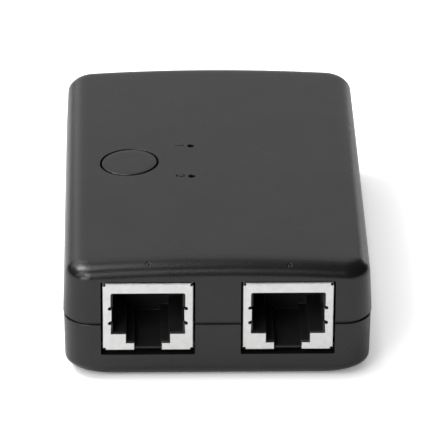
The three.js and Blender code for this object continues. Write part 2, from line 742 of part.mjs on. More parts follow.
place("button_cap", buttonCap(), CASE_PLASTIC);
place("switch_plunger", switchPlunger(), SWITCH_WHITE);
place("switch_housing", switchHousing(), CHIP_PLASTIC);
place("switch_spring", switchSpring(), SCREW_STEEL);
LAMP_SPOTS.forEach((y, i) => {
  place(`indicator_lamp_${i + 1}`, lamp(y), LAMP_RESIN);
  place(`lamp_spacer_${i + 1}`, lampSpacer(y), SOCKET_PLASTIC);
});
place("power_socket_shell", powerShell(), SHIELD_METAL);
place("power_socket_tongue", powerTongue(), SOCKET_PLASTIC);
place("line_switch_chip_1", flatChip(8, -13), CHIP_PLASTIC);
place("line_switch_chip_2", flatChip(8, 11), CHIP_PLASTIC);
place("logic_chip", leadedChip(17, -2, 4.9, 3.9, 1.5, 4), CHIP_PLASTIC);
place("voltage_regulator", leadedChip(17, 9, 4.5, 2.6, 1.6, 3), CHIP_PLASTIC);
place("input_capacitor", inputCapacitor(14, 27), SHIELD_METAL);

export default selector;
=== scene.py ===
import math

import bmesh
import bpy
import numpy as np
from mathutils import Matrix, Vector


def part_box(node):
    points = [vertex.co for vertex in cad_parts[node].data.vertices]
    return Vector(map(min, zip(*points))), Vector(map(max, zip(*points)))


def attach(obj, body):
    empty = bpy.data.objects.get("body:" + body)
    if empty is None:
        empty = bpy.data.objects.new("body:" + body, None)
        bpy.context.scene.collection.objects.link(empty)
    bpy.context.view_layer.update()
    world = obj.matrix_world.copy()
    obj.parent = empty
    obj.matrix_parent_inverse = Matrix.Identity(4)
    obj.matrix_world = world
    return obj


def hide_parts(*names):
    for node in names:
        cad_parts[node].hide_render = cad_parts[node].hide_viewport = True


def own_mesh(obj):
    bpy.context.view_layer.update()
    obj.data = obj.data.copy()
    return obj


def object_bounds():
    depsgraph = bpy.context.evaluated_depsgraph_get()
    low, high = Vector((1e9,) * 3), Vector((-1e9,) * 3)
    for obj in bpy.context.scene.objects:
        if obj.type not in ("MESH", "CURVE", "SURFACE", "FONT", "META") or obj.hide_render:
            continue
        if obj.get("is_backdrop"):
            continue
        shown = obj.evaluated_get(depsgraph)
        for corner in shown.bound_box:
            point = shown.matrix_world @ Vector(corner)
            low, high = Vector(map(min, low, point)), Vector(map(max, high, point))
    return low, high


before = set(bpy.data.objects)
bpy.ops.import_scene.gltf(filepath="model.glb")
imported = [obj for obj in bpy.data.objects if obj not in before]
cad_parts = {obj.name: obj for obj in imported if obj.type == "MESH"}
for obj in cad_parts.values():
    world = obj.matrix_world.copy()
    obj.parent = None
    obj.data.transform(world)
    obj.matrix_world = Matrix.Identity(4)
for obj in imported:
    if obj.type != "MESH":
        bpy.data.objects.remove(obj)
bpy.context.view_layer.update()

# Sizes below are in millimetres, and every mesh is scaled to metres when it is made.
MM = 0.001

CASE_BODY, BUTTON_BODY = "case", "button"
JACK_NAMES = ("front_left_jack", "front_right_jack", "rear_jack")
LAMP_NODES = ("indicator_lamp_1", "indicator_lamp_2")
SCREW_NODES = [f"case_screw_{end}_{side}" for end in ("front", "rear") for side in ("left", "right")]


def cad_box(node):
    """A CAD node's lowest and highest corners, in millimetres."""
    low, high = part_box(node)
    return low / MM, high / MM


def centre_of(node):
    """A CAD node's middle in plan."""
    low, high = cad_box(node)
    return (low.x + high.x) / 2, (low.y + high.y) / 2


HALF_X, HALF_Y, HEIGHT = cad_box("top_cover")[1]
LIP = 1.5  # how far the lower cover's lip stands above the parting line
PARTING = cad_box("bottom_cover")[1].z - LIP
OVER = 1  # how far a cutter stands out past the surface that it cuts

# ---- Mesh tools ----

SAME_POINT, SLIVER = 1e-7, 1e-8  # in metres
FLAT_ANGLE = 1  # faces at less than this many degrees to each other are merged before their edges are rounded


def full_turn(steps):
    """Angles spread evenly round a circle."""
    return [2 * math.pi * i / steps for i in range(steps)]


def mesh_object(name, points, faces):
    """An object from points in millimetres, with doubled points merged and its faces pointing out."""
    mesh = bpy.data.meshes.new(name)
    mesh.from_pydata([Vector(p) * MM for p in points], [], faces)
    bm = bmesh.new()
    bm.from_mesh(mesh)
    bmesh.ops.remove_doubles(bm, verts=bm.verts, dist=SAME_POINT)
    bmesh.ops.dissolve_degenerate(bm, edges=bm.edges, dist=SLIVER)
    bmesh.ops.recalc_face_normals(bm, faces=bm.faces)
    bm.to_mesh(mesh)
    bm.free()
    made = bpy.data.objects.new(name, mesh)
    bpy.context.scene.collection.objects.link(made)
    return made


def rings_object(name, rings, closed=False):
    """Skins rings of equally many points. Ends are capped, or joined to each other when closed."""
    count = len(rings[0])
    last = len(rings) if closed else len(rings) - 1
    faces = []
    for k in range(last):
        a, b = k * count, (k + 1) % len(rings) * count
        faces += [(a + i, a + (i + 1) % count, b + (i + 1) % count, b + i) for i in range(count)]
    if not closed:
        faces += [tuple(reversed(range(count))), tuple(range(last * count, last * count + count))]
    return mesh_object(name, [p for ring in rings for p in ring], faces)


def circle(centre, radius, z, turns):
    return [(centre[0] + radius * math.cos(a), centre[1] + radius * math.sin(a), z) for a in turns]


def lathe(name, profile, centre, segments):
    """Turns [radius, height] points, which start and end on the axis, about a vertical axis."""
    turns = full_turn(segments)
    return rings_object(name, [circle(centre, radius, z, turns) for radius, z in profile])


def block(name, low, high, edge=0.0, segments=2):
    """A box with rounded edges."""
    corners = [(x, y, z) for x in (low[0], high[0]) for y in (low[1], high[1]) for z in (low[2], high[2])]
    faces = [(0, 1, 3, 2), (4, 6, 7, 5), (0, 4, 5, 1), (2, 3, 7, 6), (0, 2, 6, 4), (1, 5, 7, 3)]
    made = mesh_object(name, corners, faces)
    if edge:
        soften(made, edge, segments)
    return made


def prism(name, outline, low, high):
    """An outline of (x, z) points carried along Y."""
    return rings_object(name, [[(x, y, z) for x, z in outline] for y in (low, high)])


def soften(piece, width, segments=2, angle=40, choose=None):
    """Rounds the edges sharper than the angle, or only those of them that choose picks."""
    bm = bmesh.new()
    bm.from_mesh(piece.data)
    bmesh.ops.dissolve_limit(bm, angle_limit=math.radians(FLAT_ANGLE), verts=bm.verts, edges=bm.edges)
    sharp = [e for e in bm.edges if len(e.link_faces) == 2 and e.calc_face_angle() > math.radians(angle)]
    if choose:
        sharp = [e for e in sharp if choose([v.co / MM for v in e.verts])]
    bmesh.ops.bevel(
        bm, geom=sharp, offset=width * MM, segments=segments, profile=0.5, affect="EDGES", clamp_overlap=True
    )
    bmesh.ops.dissolve_degenerate(bm, edges=bm.edges, dist=SLIVER)
    bm.to_mesh(piece.data)
    bm.free()


def combine(piece, tools, operation):
    """Applies one boolean with each tool in turn and removes the tools."""
    for tool in tools:
        step = piece.modifiers.new("step", "BOOLEAN")
        step.operation = operation
        step.solver = "MANIFOLD"
        step.object = tool
        done = bpy.data.meshes.new_from_object(piece.evaluated_get(bpy.context.evaluated_depsgraph_get()))
        piece.modifiers.clear()
        piece.data = done
        bpy.data.objects.remove(tool)
    return piece


def cad_copy(node, name):
    """A CAD node's mesh as a new object, with the vertices that its flat shading split merged again."""
    points = [v.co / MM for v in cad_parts[node].data.vertices]
    return mesh_object(name, points, [tuple(p.vertices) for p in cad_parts[node].data.polygons])


def finish_piece(piece, material, body, replaced=(), angle=35):
    """Smooth shading, a material, the body it rides on, and the CAD nodes it stands for."""
    piece.data.shade_smooth()
    piece.data.set_sharp_from_angle(angle=math.radians(angle))
    weigh = piece.modifiers.new("weighted normals", "WEIGHTED_NORMAL")
    weigh.keep_sharp = True
    piece.data.materials.clear()
    piece.data.materials.append(material)
    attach(piece, body)
    if replaced:
        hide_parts(*replaced)
    return piece


def refine(node, name, material, edge, body=CASE_BODY):
    """A finer version of a CAD node, made from its own solid with the sharp edges rounded."""
    piece = cad_copy(node, name)
    soften(piece, edge)
    return finish_piece(piece, material, body, [node])


# ---- Materials ----


class Look:
    """A material's node tree, with the few nodes that the looks below share."""

    def __init__(self, name, slot, metallic=0.0):
        self.material = bpy.data.materials.new(name)
        self.material["slot"] = slot
        self.material.use_nodes = True
        self.nodes = self.material.node_tree.nodes
        self.links = self.material.node_tree.links
        self.shader = self.nodes["Principled BSDF"]
        self.shader.inputs["Metallic"].default_value = metallic
        self.place = self.nodes.new("ShaderNodeTexCoord").outputs["Object"]

    def noise(self, size, stretch=(1, 1, 1), detail=3.0):
        """Noise whose features are about this many millimetres across, longer where stretch is larger."""
        mapping = self.nodes.new("ShaderNodeMapping")
        mapping.inputs["Scale"].default_value = [1 / (size * MM * s) for s in stretch]
        self.links.new(self.place, mapping.inputs["Vector"])
        texture = self.nodes.new("ShaderNodeTexNoise")
        texture.inputs["Scale"].default_value = 1.0
        texture.inputs["Detail"].default_value = detail
        self.links.new(mapping.outputs["Vector"], texture.inputs["Vector"])
        return texture.outputs["Fac"]

    def spread(self, factor, low, high, start=0.3, end=0.7):
        """Maps a factor between start and end to a range of values."""
        ranges = self.nodes.new("ShaderNodeMapRange")
        for socket, value in zip(("From Min", "From Max", "To Min", "To Max"), (start, end, low, high)):
            ranges.inputs[socket].default_value = value
        self.links.new(factor, ranges.inputs["Value"])
        return ranges.outputs["Result"]

    def colour(self, factor, dark, light, start=0.3, end=0.7):
        """The base colour, from dark where the factor is at start to light where it is at end."""
        ramp = self.nodes.new("ShaderNodeValToRGB")
        ramp.color_ramp.elements[0].position = start
        ramp.color_ramp.elements[0].color = (*dark, 1)
        ramp.color_ramp.elements[1].position = end
        ramp.color_ramp.elements[1].color = (*light, 1)
        self.links.new(factor, ramp.inputs["Fac"])
        self.links.new(ramp.outputs["Color"], self.shader.inputs["Base Color"])

    def roughness(self, factor, low, high):
        self.links.new(self.spread(factor, low, high), self.shader.inputs["Roughness"])

    def bump(self, height, depth):
        """Raises the surface by height times this many millimetres."""
        bump = self.nodes.new("ShaderNodeBump")
        bump.inputs["Strength"].default_value = 1.0
        bump.inputs["Distance"].default_value = depth * MM
        self.links.new(height, bump.inputs["Height"])
        self.links.new(bump.outputs["Normal"], self.shader.inputs["Normal"])


def case_plastic():
    """Satin black ABS with a fine moulded grain."""
    look = Look("case plastic", "case_plastic")
    look.colour(look.noise(9), (0.008, 0.008, 0.009), (0.012, 0.012, 0.012))
    look.roughness(look.noise(14), 0.26, 0.30)
    look.bump(look.noise(0.3, detail=0.5), 0.022)
    return look.material


def socket_plastic():
    """The duller black plastic of the socket housings."""
    look = Look("socket plastic", "socket_plastic")
    look.colour(look.noise(2.5), (0.020, 0.020, 0.021), (0.025, 0.025, 0.025))
    look.roughness(look.noise(0.4), 0.30, 0.42)
    look.bump(look.noise(0.15), 0.002)
    look.shader.inputs["Specular IOR Level"].default_value = 0.3
    return look.material


def nickel_sheet():
    """Bright nickel-plated sheet, faintly brushed along its length."""
    look = Look("nickel sheet", "shield_metal", metallic=1.0)
    look.colour(look.noise(0.9), (0.72, 0.72, 0.715), (0.80, 0.80, 0.79))
    brushed = look.noise(0.12, stretch=(9, 9, 1), detail=4)
    look.roughness(brushed, 0.28, 0.42)
    look.bump(brushed, 0.0015)
    return look.material


def gold_wire():
    """Gold-flashed contact wire, a little duller in patches."""
    look = Look("gold wire", "contact_metal", metallic=1.0)
    look.colour(look.noise(1.2), (0.72, 0.49, 0.17), (0.86, 0.62, 0.26))
    look.roughness(look.noise(0.2, stretch=(1, 12, 12)), 0.18, 0.34)
    return look.material


def board_laminate():
    """Green solder mask over copper areas, which show through as lighter green between thin gaps."""
    look = Look("board laminate", "board_laminate")
    area_size, gap_edge, gap_end = 3.125, 0.07, 0.09
    areas = look.nodes.new("ShaderNodeTexVoronoi")
    areas.distance = "CHEBYCHEV"
    areas.feature = "DISTANCE_TO_EDGE"
    areas.inputs["Scale"].default_value = 1 / (area_size * MM)
    areas.inputs["Randomness"].default_value = 0.65
    look.links.new(look.place, areas.inputs["Vector"])
    from_gap = areas.outputs["Distance"]
    look.colour(from_gap, (0.004, 0.040, 0.014), (0.010, 0.085, 0.032), gap_edge, gap_end)
    look.roughness(look.noise(0.8), 0.28, 0.42)
    look.bump(look.spread(from_gap, 0, 1, gap_edge, gap_end), 0.02)
    return look.material


def chip_epoxy():
    """Dark moulded epoxy of the chips and the switch."""
    look = Look("chip epoxy", "chip_plastic")
    look.colour(look.noise(0.5), (0.016, 0.016, 0.018), (0.030, 0.030, 0.032))
    look.roughness(look.noise(0.2), 0.5, 0.7)
    look.bump(look.noise(0.1), 0.006)
    return look.material


def zinc_steel():
    """Zinc-plated steel of the screws, the spring and the lamps' legs."""
    look = Look("zinc steel", "screw_steel", metallic=1.0)
    look.colour(look.noise(0.7), (0.38, 0.39, 0.41), (0.50, 0.50, 0.50))
    look.roughness(look.noise(0.3), 0.26, 0.42)
    return look.material


def switch_acetal():
    """Off-white acetal of the switch's plunger."""
    look = Look("switch acetal", "switch_plastic")
    look.colour(look.noise(1.5), (0.68, 0.67, 0.62), (0.76, 0.75, 0.70))
    look.roughness(look.noise(0.3), 0.38, 0.5)
    return look.material


def lamp_resin():
    """Pale, faintly blue epoxy of the lamps."""
    look = Look("lamp resin", "lamp_resin")
    look.colour(look.noise(1), (0.36, 0.45, 0.52), (0.46, 0.56, 0.63))
    look.roughness(look.noise(0.5), 0.08, 0.16)
    look.shader.inputs["Coat Weight"].default_value = 0.5
    return look.material


CASE_PLASTIC = case_plastic()
SOCKET_PLASTIC = socket_plastic()
NICKEL = nickel_sheet()
GOLD = gold_wire()
LAMINATE = board_laminate()
EPOXY = chip_epoxy()
ZINC = zinc_steel()
ACETAL = switch_acetal()
RESIN = lamp_resin()

# ---- The case's outer skin ----

SKIN = 0.045  # the smooth skin lies this far inside the CAD shell's facets
CROWN_X, CROWN_Y = 1.0, 0.28  # how far the top falls from its middle to its sides, and to its ends
CORNER = 5.1
WALL_LEAN = {"top": 0.042, "bottom": 0.014}
TOP_RIM = {"across": 3.8, "down": 2.6, "least_corner": 0.6}
BOTTOM_RIM = {"across": 3.3, "down": 2.86, "corner": 10, "rest": 0.04}
SETBACK = {"top": 0.0, "bottom": 0.12}  # how far each cover stands in at the parting line
# The groove between the covers: it closes to twice "closed" at its root, and its middle is lowered by "drop".
SEAM = {"gap": 0.52, "edge": 0.14, "depth": 0.5, "closed": 0.02, "drop": 0.04}
# Inside the walls each skin reaches past the parting line, so that it keeps the CAD shell's bosses and lip.
BOSS_ROOM = {"inset": 2.3, "corner": 2.6, "low": 3}
LIP_ROOM = {"inset": 1.05, "above": 2}
CORNER_STEPS, EDGE_STEPS, SIDE_STEPS, RIM_STEPS, SEAM_STEPS = 12, 24, 36, 10, 3


def top_height(x, y):
    """Height of the top surface's skin."""
    return HEIGHT - SKIN - CROWN_X * (x / HALF_X) ** 2 - CROWN_Y * (y / HALF_Y) ** 2


def wall_inset(cover, z):
    """How far the wall stands in from the case's half length at a height."""
    return SKIN + SETBACK[cover] + WALL_LEAN[cover] * abs(z - PARTING)


def level(inset, corner, z, crowned=False):
    """One level of the case as a grid of points: a rounded rectangle, inset from the case's plan."""
    half_x, half_y = HALF_X - inset, HALF_Y - inset
    turn = np.linspace(0, math.pi / 2, CORNER_STEPS + 1)
    arc = np.stack([half_x - corner + corner * np.cos(turn), half_y - corner + corner * np.sin(turn)], 1)
    run = np.linspace(half_x - corner, corner - half_x, EDGE_STEPS + 1)[1:-1]
    far = np.concatenate([arc, np.stack([run, np.full_like(run, half_y)], 1), arc[::-1] * (-1, 1)])
    share = np.linspace(1, -1, SIDE_STEPS + 1)
    x = np.repeat(far[:, :1], SIDE_STEPS + 1, 1)
    y = far[:, 1:] * share
    height = z + top_height(x, y) - (HEIGHT - SKIN) if crowned else np.full_like(x, z)
    return np.stack([x, y, height], 2)


def loft(name, levels):
    """A closed solid through levels listed from the lowest to the highest."""
    rows, columns = levels[0].shape[:2]
    rim = [(i, 0) for i in range(rows)] + [(rows - 1, j) for j in range(1, columns - 1)]
    rim += [(i, columns - 1) for i in reversed(range(rows))] + [(0, j) for j in range(columns - 2, 0, -1)]
    count = len(rim)
    points = [grid[i, j] for grid in levels for i, j in rim]
    faces = []
    for k in range(len(levels) - 1):
        a, b = k * count, (k + 1) * count
        faces += [(a + i, a + (i + 1) % count, b + (i + 1) % count, b + i) for i in range(count)]
    for grid in (levels[0], levels[-1]):
        start = len(points)
        points += [grid[i, j] for i in range(rows) for j in range(columns)]
        for i in range(rows - 1):
            for j in range(columns - 1):
                a = start + i * columns + j
                faces.append((a, a + columns, a + columns + 1, a + 1))
    return mesh_object(name, points, faces)


def seam_edge(cover, up):
    """Levels round a cover's half of the groove at the parting line, from the groove's root outwards."""
    edge, flat = SEAM["edge"], PARTING - SEAM["drop"] + up * SEAM["gap"] / 2
    root = SEAM["depth"]
    levels = [level(root, CORNER - root, z) for z in (PARTING + up * SEAM["closed"], flat)]
    for turn in np.linspace(0, math.pi / 2, SEAM_STEPS + 1):
        inset = SKIN + SETBACK[cover] + edge * (1 - math.sin(turn))
        levels.append(level(inset, CORNER - inset, flat + up * edge * (1 - math.cos(turn))))
    return levels


def top_skin():
    heights = (BOSS_ROOM["low"], PARTING + SEAM["closed"])
    inside = [level(BOSS_ROOM["inset"], BOSS_ROOM["corner"], z) for z in heights]
    base = HEIGHT - SKIN - TOP_RIM["down"]
    rim = []
    for turn in np.linspace(0, math.pi / 2, RIM_STEPS + 1):
        inset = wall_inset("top", base) + TOP_RIM["across"] * (1 - math.cos(turn))
        corner = max(CORNER - inset, TOP_RIM["least_corner"])
        rim.append(level(inset, corner, base + TOP_RIM["down"] * math.sin(turn), True))
    return loft("top_cover_shell", inside + seam_edge("top", 1) + rim)


def bottom_skin():
    base = BOTTOM_RIM["rest"] + BOTTOM_RIM["down"]
    rim = []
    for turn in np.linspace(math.pi / 2, 0, RIM_STEPS + 1):
        share = 1 - math.cos(turn)
        inset = wall_inset("bottom", base) + BOTTOM_RIM["across"] * share
        corner = CORNER + (BOTTOM_RIM["corner"] - CORNER) * share
        rim.append(level(inset, corner, base - BOTTOM_RIM["down"] * math.sin(turn)))
    heights = (PARTING - SEAM["closed"], PARTING + LIP_ROOM["above"])
    inside = [level(LIP_ROOM["inset"], CORNER - LIP_ROOM["inset"], z) for z in heights]
    return loft("bottom_cover_shell", rim + seam_edge("bottom", -1)[::-1] + inside)


# ---- Punches with a rounded entry, for the holes through the skin ----

PROUD = 2  # how far a punch stands out of the surface
ENTRY_FLARE, ENTRY_TURNS = 0.7, (0.45, 0.9, math.pi / 2)


def punch(outline, place, edge, reach):
    """A cutter: outline(offset) gives (u, v) points, and place(u, v, depth) puts one below the surface."""
    stations = [(edge * ENTRY_FLARE, -PROUD)]
    for turn in ENTRY_TURNS:
        stations.append((edge * (1 - math.sin(turn)), edge * (1 - math.cos(turn))))
    stations.append((0, reach))
    return rings_object("punch", [[place(u, v, depth) for u, v in outline(o)] for o, depth in stations])


def round_outline(centre, radius, segments):
    turns = full_turn(segments)

    def points(offset):
        reach = radius + offset
        return [(centre[0] + reach * math.cos(a), centre[1] + reach * math.sin(a)) for a in turns]

    return points


def slot_outline(centre, half_width, half_height, corner, steps=6):
    """A rounded rectangle, from its upper right corner round."""
    quarters = ((1, 1), (-1, 1), (-1, -1), (1, -1))

    def points(offset):
        r = corner + offset
        made = []
        for quarter, (right, up) in enumerate(quarters):
            x, z = centre[0] + right * (half_width - corner), centre[1] + up * (half_height - corner)
            for k in range(steps + 1):
                a = (quarter + k / steps) * math.pi / 2
                made.append((x + r * math.cos(a), z + r * math.sin(a)))
        return made

    return points


def jack_spot(jack):
    """A socket's place across the case, and the end that it faces: -1 for the front, 1 for the rear."""
    low, high = cad_box(f"{jack}_shield")
    return (low.x + high.x) / 2, 1 if high.y > 0 else -1


JACK_SPOTS = {name: jack_spot(name) for name in JACK_NAMES}
BOARD_TOP = cad_box("circuit_board")[1].z
JACK = {"width": 15.9, "height": 13.3, "depth": 18.0, "sheet": 0.3}
JACK_HOLE = {"side": 0.32, "below": 1.02, "above": 0.07, "corner": 0.25, "edge": 0.07, "reach": 6}


def jack_punches(cover):
    low = BOARD_TOP - JACK_HOLE["below"]
    high = BOARD_TOP + JACK["height"] + JACK_HOLE["above"]
    half = JACK["width"] / 2 + JACK_HOLE["side"]
    made = []
    for x, side in JACK_SPOTS.values():
        outline = slot_outline((x, (low + high) / 2), half, (high - low) / 2, JACK_HOLE["corner"])

        def place(u, v, depth, side=side):
            return (u, side * (HALF_Y - wall_inset(cover, v) - depth), v)

        made.append(punch(outline, place, JACK_HOLE["edge"], JACK_HOLE["reach"]))
    return made


def on_top(u, v, depth):
    """The point at a depth below the top surface."""
    return (u, v, top_height(u, v) - depth)


# Small round moulding marks on the front rim: each one's place across, and how far up the rim it stands in
# degrees. "radius" is that of the ring groove's middle, and "groove" that of its round section.
DIMPLES = ((-12.3, 58), (12.55, 49))
DIMPLE = {"radius": 0.34, "groove": 0.17, "lift": 0.04, "steps": 24, "section_steps": 12}


def dimple(x, degrees):
    """A cutter for a ring groove, lying square to the front rim."""
    turn = math.radians(degrees)
    inset = wall_inset("top", HEIGHT - TOP_RIM["down"]) + TOP_RIM["across"] * (1 - math.cos(turn))
    z = top_height(x, inset - HALF_Y) - TOP_RIM["down"] * (1 - math.sin(turn))
    out = Vector((0, -math.cos(turn) / TOP_RIM["across"], math.sin(turn) / TOP_RIM["down"])).normalized()
    rings = []
    for a in full_turn(DIMPLE["steps"]):
        ring = []
        for b in full_turn(DIMPLE["section_steps"]):
            reach = DIMPLE["radius"] + DIMPLE["groove"] * math.cos(b)
            ring.append((reach * math.cos(a), reach * math.sin(a), DIMPLE["groove"] * math.sin(b)))
        rings.append(ring)
    made = rings_object("dimple", rings, closed=True)
    centre = Vector((x, inset - HALF_Y, z)) + out * DIMPLE["lift"]
    made.data.transform(Matrix.Translation(centre * MM) @ out.to_track_quat("Z", "Y").to_matrix().to_4x4())
    return made


# ---- Digits beside the lamps, sunk into the top ----

# "foot" and "aside" place a digit from its lamp, and the cutter narrows to "taper" at its bottom.
DIGIT = {"height": 1.5, "width": 1.0, "stroke": 0.25, "foot": -2.8, "aside": 0.2, "depth": 0.25, "taper": 0.7}
LEAST_MITRE = 0.6
BOW = {"x": 0.5, "z": 0.68, "half_width": 0.42, "half_height": 0.30, "start": math.pi * 0.95, "end": -0.5}
DIGIT_ONE = [(0.2, 0.76), (0.52, 0.97), (0.52, 0.0)]
DIGIT_TWO = [
    (BOW["x"] + BOW["half_width"] * math.cos(a), BOW["z"] + BOW["half_height"] * math.sin(a))
    for a in np.linspace(BOW["start"], BOW["end"], 12)
] + [(0.08, 0.04), (0.95, 0.04)]


def digit(path, lamp):
    """A cutter for a digit that lies on its side, its top towards +X, with its path in a unit square."""
    line = []
    for right, up in path:
        x = lamp[0] + DIGIT["foot"] + up * DIGIT["height"]
        line.append(Vector((x, lamp[1] + DIGIT["aside"] - (right - 0.5) * DIGIT["width"])))
    rings = []
    for k, point in enumerate(line):
        incoming = (point - line[max(k - 1, 0)]).normalized()
        outgoing = (line[min(k + 1, len(line) - 1)] - point).normalized()
        along = (incoming + outgoing).normalized()
        mitre = max(LEAST_MITRE, along.dot(outgoing if outgoing.length else incoming))
        aside = Vector((-along.y, along.x)) * DIGIT["stroke"] / 2 / mitre
        low = aside * DIGIT["taper"]
        corners = [(point + aside, 1), (point - aside, 1), (point - low, -1), (point + low, -1)]
        rings.append([(p.x, p.y, top_height(p.x, p.y) + DIGIT["depth"] * rise) for p, rise in corners])
    return rings_object("digit", rings)


# ---- The two covers: the CAD shells, cut down to the smooth skins ----

BUTTON_HOLE = {"radius": 5.33, "edge": 0.16, "reach": 4, "segments": 96}
LAMP_HOLE = {"radius": 0.61, "edge": 0.06, "reach": 4, "segments": 32}
SCREW_HOLE = {"radius": 2.23, "edge": 0.2, "reach": 2.18, "segments": 48}
INLET_HOLE = {"gap": 0.33, "edge": 0.15, "reach": 3.5}


def round_punch(centre, hole, place):
    """A punch for one of the round holes above."""
    return punch(round_outline(centre, hole["radius"], hole["segments"]), place, hole["edge"], hole["reach"])


def top_cover():
    lamps = [centre_of(node) for node in LAMP_NODES]
    cuts = jack_punches("top")
    cuts.append(round_punch(centre_of("button_cap"), BUTTON_HOLE, on_top))
    cuts += [round_punch(lamp, LAMP_HOLE, on_top) for lamp in lamps]
    cuts += [dimple(*spot) for spot in DIMPLES]
    cuts += [digit(path, lamp) for path, lamp in zip((DIGIT_ONE, DIGIT_TWO), lamps)]
    shell = combine(top_skin(), [cad_copy("top_cover", "tool")], "INTERSECT")
    combine(shell, cuts, "DIFFERENCE")
    return finish_piece(shell, CASE_PLASTIC, CASE_BODY, ["top_cover"])


INLET_LOW, INLET_HIGH = cad_box("power_socket_shell")
INLET = {
    "centre": ((INLET_LOW.x + INLET_HIGH.x) / 2, (INLET_LOW.z + INLET_HIGH.z) / 2),
    "half_width": (INLET_HIGH.x - INLET_LOW.x) / 2,
    "half_height": (INLET_HIGH.z - INLET_LOW.z) / 2,
}


def inlet_outline(offset, steps=6):
    """The power inlet's oval, grown by an offset."""
    half_height = INLET["half_height"] + offset
    return slot_outline(INLET["centre"], INLET["half_width"] + offset, half_height, half_height, steps)


def bottom_cover():
    def rear(u, v, depth):
        return (u, HALF_Y - wall_inset("bottom", v) - depth, v)

    def beneath(u, v, depth):
        return (u, v, depth)

    cuts = jack_punches("bottom")
    cuts.append(punch(inlet_outline(INLET_HOLE["gap"]), rear, INLET_HOLE["edge"], INLET_HOLE["reach"]))
    cuts += [round_punch(centre_of(node), SCREW_HOLE, beneath) for node in SCREW_NODES]
    shell = combine(bottom_skin(), [cad_copy("bottom_cover", "tool")], "INTERSECT")
    combine(shell, cuts, "DIFFERENCE")
    return finish_piece(shell, CASE_PLASTIC, CASE_BODY, ["bottom_cover"])


# ---- Button ----

# The rounding between the cap's face and its side starts at the angle "edge_start". The face is made of
# rings, so that it can follow the top's crown.
CAP = {"radius": 5.02, "proud": 0.05, "edge": 0.22, "edge_start": 0.35, "segments": 96}
CAP_FACE = {"rings": (1.2, 2.4, 3.6), "depth": 1}
FLANGE = {"radius": 6.15, "low": 3.55, "high": 4.45, "edge": 0.1}
CAP_HOLLOW = {"outer": 4.05, "inner": 2.65, "roof": 1.8}
PLUNGER_SOCKET = {"half": 1.56, "depth": 3.7}


def cap_profile(foot, top):
    """From the middle of the cap's face, round its edge, its flange and its hollow, to the hub's foot."""
    radius, edge = CAP["radius"], CAP["edge"]
    profile = [(0, top)] + [(r, top) for r in (*CAP_FACE["rings"], radius - edge)]
    for turn in np.linspace(CAP["edge_start"], math.pi / 2, 4):
        profile.append((radius - edge * (1 - math.sin(turn)), top - edge * (1 - math.cos(turn))))
    flange, cut, high, low = FLANGE["radius"], FLANGE["edge"], foot + FLANGE["high"], foot + FLANGE["low"]
    profile += [(radius, high), (flange - cut, high), (flange, high - cut), (flange, low)]
    outer, inner, roof = CAP_HOLLOW["outer"], CAP_HOLLOW["inner"], top - CAP_HOLLOW["roof"]
    return profile + [(outer, low), (outer, roof), (inner, roof), (inner, foot), (0, foot)]


def button_cap():
    """The round cap, with a softened rim, a retaining flange and a square socket for the plunger."""
    x, y = centre_of("button_cap")
    foot = cad_box("button_cap")[0].z
    top = top_height(x, y) + CAP["proud"]
    cap = lathe("push_button_cap", cap_profile(foot, top), (x, y), CAP["segments"])
    for v in cap.data.vertices:
        if v.co.z > (top - CAP_FACE["depth"]) * MM:
            v.co.z += (top_height(*(v.co / MM).xy) - top_height(x, y)) * MM
    half = PLUNGER_SOCKET["half"]
    low, high = (x - half, y - half, foot - OVER), (x + half, y + half, foot + PLUNGER_SOCKET["depth"])
    combine(cap, [block("tool", low, high)], "DIFFERENCE")
    return finish_piece(cap, CASE_PLASTIC, BUTTON_BODY, ["button_cap"])


# ---- Sockets, built in the CAD's own socket frame: face at y = 0, running back along +Y from z = 0 ----

# Below, "front" and "back" are distances behind the face, and "low" and "high" are heights above the board.
# The plug opening's upper corners are each rounded by one point that stands in by "roof_bow".
MOUTH = {"half": 6.55, "floor": 3.27, "roof": 11.37, "floor_edge": 0.12, "roof_edge": 0.3, "roof_bow": 0.09}
SHOULDER = {"half": 3.9, "floor": 1.43}
LATCH_HALF = 2.45
GROUND = {"low": 5.9, "high": 8.15, "bite": 0.15}  # the shield's edge at the root of each ground spring
SPRING_ARM = {"low": 5.92, "high": 7.95, "front": 0.12, "back": 7.0, "inset": 0.01, "edge": 0.06}
TAB = {"front": 9.8, "back": 11.2, "low": -2.4, "high": 0.6, "inset": 0.001, "edge": 0.08}
FOLD = {"outer": 0.26, "inner": 0.1, "face": 0.05}
FACE_SLACK = 0.02  # edges this near the face are its own, and the mouth's cutter goes this far past the sheet
NOTCH = {"radius": 0.32, "aside": 0.17, "low": 5.4, "high": 8.32, "tail": 0.4, "steps": 8}
POCKET = {"front": 0.2, "back": 4}
SILL = {"front": 0.42, "back": 1.4, "bottom": 0.22, "top": 0.5, "edge": 0.2, "side": 0.1, "steps": 6}
CORNER_RELIEF = {"inset": 0.3, "radius": 0.26, "depth": 1.5, "steps": 8}
HOUSING_EDGE = 0.15


def jack_matrix(jack):
    """From the socket frame to a socket's place in the case."""
    x, side = JACK_SPOTS[jack]
    turn = Matrix.Rotation(math.pi if side > 0 else 0, 4, "Z")
    return Matrix.Translation(Vector((x, side * HALF_Y, BOARD_TOP)) * MM) @ turn


def notch_arc(z, start, end):
    """The round end of the notch beside a ground spring's root, between two bearings in degrees."""
    turns = np.radians(np.linspace(start, end, NOTCH["steps"] + 1))
    middle = MOUTH["half"] + NOTCH["aside"]
    return [(middle + NOTCH["radius"] * math.cos(a), z + NOTCH["radius"] * math.sin(a)) for a in turns]


